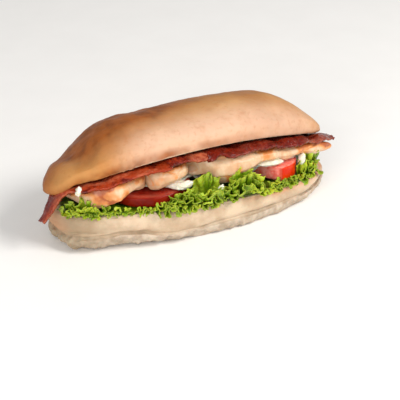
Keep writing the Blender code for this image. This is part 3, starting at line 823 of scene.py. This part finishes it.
# (name, leaf, inset from the rim, lift above the cut face, (place along X, width) stations,
# lean in degrees, curl over the width, seed, size of the folds)
FRILLS = (
    ("left_corner", "left", 3.0, 1.4, ((-99, 5), (-94, 8), (-88, 6)), 20, -10, 151, 1.0),
    ("left_edge", "left", 3.0, 1.2, ((-96, 4), (-80, 4), (-60, 4), (-42, 6)), 8, -30, 101, 1.0),
    ("left_second", "left", 3.5, 1.6, ((-94, 5), (-80, 4), (-60, 3.8), (-43, 6)), 26, -20, 111, 0.95),
    ("left_stand", "left", 3.0, 2.2, ((-95, 7), (-90, 12), (-86, 10), (-81, 4)), 70, 10, 161, 1.0),
    ("left_front", "left", 2.0, 2.0, ((-94, 5), (-88, 8), (-80, 7), (-73, 4)), 42, 10, 171, 1.0),
    (
        "middle_back", "middle", 4.0, 2.6,
        ((-36, 5), (-31, 6), (-22, 9), (-13, 16), (-5, 18), (2, 9), (8, 12), (16, 17), (22, 13), (31, 6)),
        82, 6, 201, 1.5,
    ),
    (
        "middle_second", "middle", 2.5, 2.4,
        ((-38, 5), (-31, 8), (-22, 11), (-10, 13), (0, 9), (8, 10), (16, 13), (31, 6)),
        62, 10, 211, 1.2,
    ),
    (
        "middle_third", "middle", 1.5, 2.0,
        ((-42, 5), (-31, 8), (-22, 9), (-8, 10), (4, 8), (16, 10), (31, 6)),
        42, 12, 221, 1.15,
    ),
    ("middle_fourth", "middle", 2.0, 1.6, ((-46, 6), (-24, 7.5), (-4, 8), (6, 6), (14, 4)), 26, 0, 226, 1.1),
    ("middle_low", "middle", 2.0, 1.2, ((-46, 6), (-24, 5), (-6, 5), (2, 3)), 8, -25, 231, 1.0),
    (
        "right_edge", "right", 2.0, 1.4,
        ((33, 4), (42, 5), (52, 4), (60, 4), (74, 4.5), (86, 4.5)),
        8, -14, 301, 1.0,
    ),
    (
        "right_second", "right", 3.0, 2.0,
        ((27, 6), (36, 5), (46, 3.6), (56, 3.4), (66, 5), (86, 7)),
        40, 0, 311, 1.0,
    ),
    ("right_third", "right", 1.5, 1.8, ((28, 6), (36, 5.5), (46, 4.2), (54, 3.6), (62, 3)), 20, 0, 321, 1.0),
    ("right_stand", "right", 4.0, 3.0, ((66, 6), (73, 12), (80, 15), (87, 12)), 84, 5, 331, 1.2),
    ("right_outer", "right", 2.5, 2.6, ((67, 5), (74, 9), (81, 10), (87, 7)), 66, 10, 341, 0.8),
)

# (leaf, where it starts and ends along X, seed), lying on the heel and frilled at the back
LEAVES = (("left", -94, -45, 3), ("middle", -45, 32, 4), ("right", 32, 87, 5))
BACK_FRILLS = (("left", -90, -46, 401), ("middle", -48, 33, 411), ("right", 31, 82, 421))
BACK_ROWS = ((9.0, 2.2, 18), (11.5, 2.6, 45))  # inset, lift and lean


def lettuce():
    green = lettuce_material()
    for leaf, start, end, seed in LEAVES:
        lying_leaf(f"lettuce_{leaf}_sheet", f"lettuce_{leaf}", green, start, end, seed)
    for name, leaf, inset, lift, width, lean, curl, seed, size in FRILLS:
        start, end = width[0][0], width[-1][0]
        frill(f"lettuce_{name}", f"lettuce_{leaf}", green, start, end, at_rim(inset, lift),
              smooth_curve(width), lean, curl, seed, size)
    for leaf, start, end, seed in BACK_FRILLS:
        width = smooth_curve(((start, 3), (start + 8, 5), (end - 8, 5), (end, 3)))
        for k, (inset, lift, lean) in enumerate(BACK_ROWS):
            frill(f"lettuce_{leaf}_back_{k}", f"lettuce_{leaf}", green, start, end, at_back(inset, lift),
                  width, lean, -10, seed + 3 * k, 0.85, -1)


def lettuce_material():
    s = Shader("lettuce_leaf")
    # Darker greens toward the foot of each frill and on the lying sheets: part the leaf's own deeper green,
    # part painted shade among the frills.
    deep_with_painted_shade = s.mix(s.range(s.attribute("vein"), 0.3, 0.7), (44, 68, 2), (92, 120, 10))
    lively = s.mix(s.range(s.attribute("vein"), 0.35, 0.7), (106, 138, 8), (176, 194, 42))
    base = s.mix(s.range(s.attribute("edge"), 0.15, 0.8), deep_with_painted_shade, lively)
    # Paler free edges: part the leaf's own paler rim, part painted highlight.
    base = s.mix(s.range(s.attribute("edge"), 0.7, 1.0, 0.0, 0.4), base, (190, 206, 72))
    normal = s.bump(s.noise(1.6, 4), 0.4, 0.6)
    return s.finish(base, 0.38, normal, Subsurface_Weight=0.22, Subsurface_Scale=0.0012,
                    Specular_IOR_Level=0.3)


# Tomato, chicken and mayonnaise are finer copies of their solids with more relief

# (node, middle, radius, seed, light), where light is 1 for the slice painted as lit and 0 for the one
# painted as in shade
TOMATOES = (
    ("tomato_slice_left", (-37.5, -10.5), 28, 81, 0.0),
    ("tomato_slice_right", (46, -9), 27, 91, 1.0),
)


def tomato(node, middle, radius, seed, light, material):
    """A slice. light is 1 for the pale pink one, brightened as painted light, and 0 for the dark one,
    darkened as painted shade.
    """
    points, quads = remeshed_points(node, 0.55, 6)
    normal = fine_normals(points, quads)
    offset = points[:, :2] - np.array(middle)
    outer = np.hypot(offset[:, 0], offset[:, 1])
    outward = np.abs((normal[:, :2] * offset).sum(1)) / np.maximum(outer, 1e-6)
    skin = smoothstep(0.35, 0.75, outward) * smoothstep(radius - 3.5, radius - 2.0, outer)
    wet = layered_noise(points, 3.0, 4, seed)
    points = points + normal * ((1 - skin) * 0.45 * wet + skin * 0.08 * wet)[:, None]
    angle = np.arctan2(offset[:, 1], offset[:, 0])
    # The chambers with their jelly lie in a ring between the pale wall and the core.
    ring = bump_at(outer / radius - 0.62, 0.17)
    chamber = ring * smoothstep(-0.15, 0.35, np.cos(6 * angle + seed) + 0.4 * wet)
    # The slice painted as lit gets fewer dark chambers.
    chamber = np.clip(chamber, 0, 1) * (1 - skin) * (1 - 0.8 * light)
    wall = bump_at(outer / radius - 0.9, 0.07) * (1 - skin)
    attributes = {"skin": skin, "chamber": chamber, "wall": wall, "light": light + 0 * skin}
    obj = mesh_object(node + "_flesh", points, quads, attributes)
    finish_piece(obj, material, "tomato", node)


def tomato_material():
    s = Shader("tomato_flesh")
    # The left slice's flesh and skin are darkened as painted shade, and the right slice's flesh is
    # brightened as painted light.
    dark = s.mottled(3, (120, 18, 6), (150, 38, 20), low=0.35, high=0.68)
    dark = s.tinted(dark, s.attribute("wall"), 0.6, (186, 84, 64))
    light = s.mottled(2.5, (255, 112, 96), (255, 162, 146))
    flesh = s.mix(s.attribute("light"), dark, light)
    flesh = s.tinted(flesh, s.attribute("chamber"), 0.8, (108, 16, 6))
    ripe = s.mottled(9, (204, 36, 2), (220, 64, 8), detail=3)
    deep_with_painted_shade = s.mottled(9, (112, 15, 4), (138, 30, 12), detail=3)
    skin = s.mix(s.attribute("light"), deep_with_painted_shade, ripe)
    base = s.mix(s.attribute("skin"), flesh, skin)
    normal = s.bump(s.noise(1.2, 3), 0.2, 0.5)
    return s.finish(base, 0.3, normal, Subsurface_Weight=0.3, Subsurface_Scale=0.004,
                    Specular_IOR_Level=0.15)


# (node, seed, how much lower its front edge hangs, how much further it goes at its left and
# right end, browned spots as (x, y, z, radius, strength))
CHICKEN = (
    (
        "chicken_left", 111, 1.5, (0, 6),
        ((-80, -29, 40, 8, 0.8), (-60, -31, 32, 5, 0.5), (-49, -31, 46, 5, 0.8), (-67, -29, 41, 6, 0.35)),
    ),
    (
        "chicken_middle", 121, 2.0, (1.5, 0),
        ((-44, -34, 42, 4, 0.9),),
    ),
    (
        "chicken_right", 131, 1.0, (4, 0),
        ((-13, -35, 43, 4, 0.7), (70, -30, 37, 7, 0.6), (95, -21, 33, 5, 0.6)),
    ),
)


def chicken(node, seed, sag, reach, spots, material):
    """A piece of chicken with fibres, folds, browned patches and painted shade under the bacon and in its
    folds, made from its solid.
    """
    points, quads = remeshed_points(node, 0.6, 8)
    low, high = points.min(axis=0), points.max(axis=0)
    front = smoothstep(-8, -30, points[:, 1])
    under = smoothstep(high[2] - 3, low[2] + 3, points[:, 2])
    for end, inward, extra in ((low[0], 1, reach[0]), (high[0], -1, reach[1])):
        near = extra * front * smoothstep(10, 0, inward * (points[:, 0] - end))
        points[:, 0] -= inward * near
        points[:, 2] -= 0.9 * near * under
    points[:, 2] -= sag * front * under
    normal = fine_normals(points, quads)
    # Fibres run across the piece and show as fine ridges on its sides.
    fibres = layered_noise(points, 2.4, 3, seed, stretch=(1.0, 3.5, 3.0))
    lumps = layered_noise(points, 15, 2, seed + 7, stretch=(1.5, 1, 0.8))
    folds = np.abs(layered_noise(points, 18, 2, seed + 8, stretch=(1.8, 1, 0.6)))
    shreds = np.maximum(0, layered_noise(points, 5, 3, seed + 9) - 0.25)
    shift = 0.22 * fibres + front * (0.6 * lumps + 0.3 * smoothstep(0, 0.2, folds) - 0.3) - 0.5 * shreds
    points = points + normal * shift[:, None]
    ceiling = crown_cut(points[:, 0], points[:, 1]) - BACON_ZONE
    # Painted shade: the meat just under the bacon is coloured browner and darker.
    painted_shade_under_bacon = smoothstep(6.5, 1.5, ceiling - points[:, 2])
    crease = smoothstep(0.07, 0.0, folds)
    patches = smoothstep(0.12, 0.5, layered_noise(points, 12, 4, seed + 13))
    # toast is browning in patches and spots, plus painted shade under the bacon and in the fold lines.
    toast = painted_shade_under_bacon * 0.7 + 0.6 * patches + 0.35 * crease
    uneven = 1 + 0.5 * layered_noise(points, 4, 3, seed + 17)
    for x, y, z, radius, strength in spots:
        away = np.linalg.norm(points - np.array((x, y, z)), axis=1)
        toast = toast + strength * bump_at(away, radius) * uneven
    attributes = {"toast": np.clip(toast, 0, 1), "fibres": 0.5 + 0.5 * fibres}
    obj = mesh_object(node + "_meat", points, quads, attributes)
    finish_piece(obj, material, "chicken", node)


def chicken_material():
    s = Shader("chicken_meat")
    pale = s.mottled(7, (212, 168, 128), (226, 194, 158))
    pale = s.mix(s.range(s.attribute("fibres"), 0.25, 0.5, 0.35, 0.0), pale, (206, 146, 98))
    # toast carries both browning and painted shade.
    brown = s.mix(s.range(s.attribute("toast"), 0.4, 0.95), (224, 146, 78), (168, 84, 34))
    base = s.mix(s.range(s.attribute("toast"), 0.1, 0.6), pale, brown)
    pepper = s.range(s.noise(0.9, 2), 0.72, 0.78)
    base = s.tinted(base, pepper, 0.4, (110, 60, 30))
    normal = s.bump(s.noise(1.6, 4, stretch=(1, 2.5, 2)), 0.3, 0.5)
    return s.finish(base, 0.36, normal, Subsurface_Weight=0.15, Subsurface_Scale=0.003)


# (place along X, width) where the sauce stays back under the chicken, between its lobes
SAUCE_GAPS = ((-10, 7), (24, 8), (36, 6))


def mayonnaise(material):
    points, quads = remeshed_points("mayonnaise", 0.5, 14)
    normal = fine_normals(points, quads)
    folds = layered_noise(points, 6, 3, 71) + 0.5 * np.abs(layered_noise(points, 4, 2, 77))
    points = points + normal * (0.7 * folds)[:, None]
    hidden = sum(bump_at(points[:, 0] - x, width) for x, width in SAUCE_GAPS)
    hidden = np.clip(hidden, 0, 1)
    points[:, 1] += 8 * hidden * smoothstep(-22, -36, points[:, 1])
    obj = mesh_object("mayonnaise_layer", points, quads)
    finish_piece(obj, material, "mayonnaise", "mayonnaise")


# (name, middle, half its sizes, turn in degrees, seed)
SMEARS = (
    ("left", (-91, -22, 44), (3.0, 2.2, 1.9), 70, 5),
    ("middle", (-2, -43, 32), (4.5, 1.5, 2), 60, 6),
    ("tomato", (41, -32, 37.0), (8.5, 3.5, 2.8), -6, 8),
    ("lobe", (-24, -37, 39), (6.5, 3, 2.6), 14, 9),
    ("right", (70, -27, 30), (3.6, 2.6, 2.6), 75, 7),
)
SMEAR_AROUND, SMEAR_RINGS = 90, 44


def smear(name, middle, size, turn, seed, material):
    """A small smear of mayonnaise: an uneven rounded lump."""
    lon, lat, triangles = ball_grid(SMEAR_AROUND, rings((-85, 86, SMEAR_RINGS)))
    unit = np.stack([np.cos(lat) * np.cos(lon), np.cos(lat) * np.sin(lon), np.sin(lat)], 1)
    swell = 1 + 0.5 * layered_noise(unit, 1.2, 2, seed)
    local = unit * swell[:, None] * np.array(size)
    angle = math.radians(turn)
    x = local[:, 0] * math.cos(angle) - local[:, 2] * math.sin(angle)
    z = local[:, 0] * math.sin(angle) + local[:, 2] * math.cos(angle)
    points = np.stack([x, local[:, 1], z], 1) + np.array(middle)
    obj = mesh_object("mayonnaise_smear_" + name, points, triangles)
    finish_piece(obj, material, "mayonnaise")


def mayonnaise_material():
    s = Shader("mayonnaise_sauce")
    base = s.mottled(4, (214, 210, 188), (238, 234, 220), detail=3)
    normal = s.bump(s.noise(3.5, 2), 0.15, 0.4)
    return s.finish(base, 0.22, normal, Subsurface_Weight=0.2, Subsurface_Scale=0.002)


# Camera, floor and light, with places and sizes in metres

CAMERA_AZIMUTH, CAMERA_ELEVATION = math.radians(-29.3), math.radians(27.6)
CAMERA_DISTANCE = 0.92
CAMERA_LENS, CAMERA_SENSOR = 126, 36  # in millimetres, as Blender has them
CAMERA_TARGET = Vector((0, 0, 0.04))
CAMERA_SHIFT = (0.00644, -0.03108)  # to its right and upwards, so that the roll falls as in the photo
LAMP_TARGET = Vector((0, 0, 0.03))
FLOOR_REACH = 6.0
WORLD_COLOUR, WORLD_STRENGTH = (1.0, 0.99, 0.98, 1), 0.46
# (name, place, width, power in watts, colour)
LAMPS = (
    ("key", (0.62, -0.85, 0.98), 0.6, 15, (1.0, 0.98, 0.95)),
    ("fill", (-1.0, -0.9, 0.6), 1.0, 12, (1.0, 0.98, 0.96)),
)


def placed(obj, place, back):
    """Puts a camera or lamp at a place, looking away from the direction back."""
    right = Vector((0, 0, 1)).cross(back).normalized()
    matrix = Matrix((right, back.cross(right), back)).transposed().to_4x4()
    matrix.translation = place
    obj.matrix_world = matrix
    bpy.context.scene.collection.objects.link(obj)


def camera():
    flat = math.cos(CAMERA_ELEVATION)
    back = Vector((
        math.sin(CAMERA_AZIMUTH) * flat,
        -math.cos(CAMERA_AZIMUTH) * flat,
        math.sin(CAMERA_ELEVATION),
    ))
    right = Vector((math.cos(CAMERA_AZIMUTH), math.sin(CAMERA_AZIMUTH), 0))
    shift = right * CAMERA_SHIFT[0] + back.cross(right) * CAMERA_SHIFT[1]
    data = bpy.data.cameras.new("camera")
    data.lens = CAMERA_LENS
    data.sensor_width = CAMERA_SENSOR
    obj = bpy.data.objects.new("camera", data)
    placed(obj, CAMERA_TARGET + back * CAMERA_DISTANCE + shift, back)
    bpy.context.scene.camera = obj


def softbox(name, place, width, power, tint):
    data = bpy.data.lights.new(name, "AREA")
    data.shape = "DISK"
    data.size = width
    data.energy = power
    data.color = tint
    place = Vector(place)
    placed(bpy.data.objects.new(name, data), place, (place - LAMP_TARGET).normalized())


def studio():
    """A plain pale floor under soft light from the front."""
    corners = [(x * FLOOR_REACH, y * FLOOR_REACH, 0) for x, y in ((-1, -1), (1, -1), (1, 1), (-1, 1))]
    mesh = bpy.data.meshes.new("floor")
    mesh.from_pydata(corners, [], [(0, 1, 2, 3)])
    floor = bpy.data.objects.new("floor", mesh)
    bpy.context.scene.collection.objects.link(floor)
    s = Shader("floor_paper")
    base = s.mix(s.noise(40, 2), (244, 243, 241), (250, 249, 247))
    mesh.materials.append(s.finish(base, 0.8))
    world = bpy.data.worlds.new("studio")
    bpy.context.scene.world = world
    world.use_nodes = True
    background = world.node_tree.nodes["Background"]
    background.inputs["Color"].default_value = WORLD_COLOUR
    background.inputs["Strength"].default_value = WORLD_STRENGTH
    for lamp_row in LAMPS:
        softbox(*lamp_row)


def main():
    bpy.context.scene.view_settings.view_transform = "Standard"
    heel()
    crown()
    meat = bacon_material()
    for node in RASHERS:
        rasher(node, meat)
    lettuce()
    flesh = tomato_material()
    for slice_row in TOMATOES:
        tomato(*slice_row, flesh)
    breast = chicken_material()
    for piece_row in CHICKEN:
        chicken(*piece_row, breast)
    sauce = mayonnaise_material()
    mayonnaise(sauce)
    for smear_row in SMEARS:
        smear(*smear_row, sauce)
    camera()
    studio()


main()
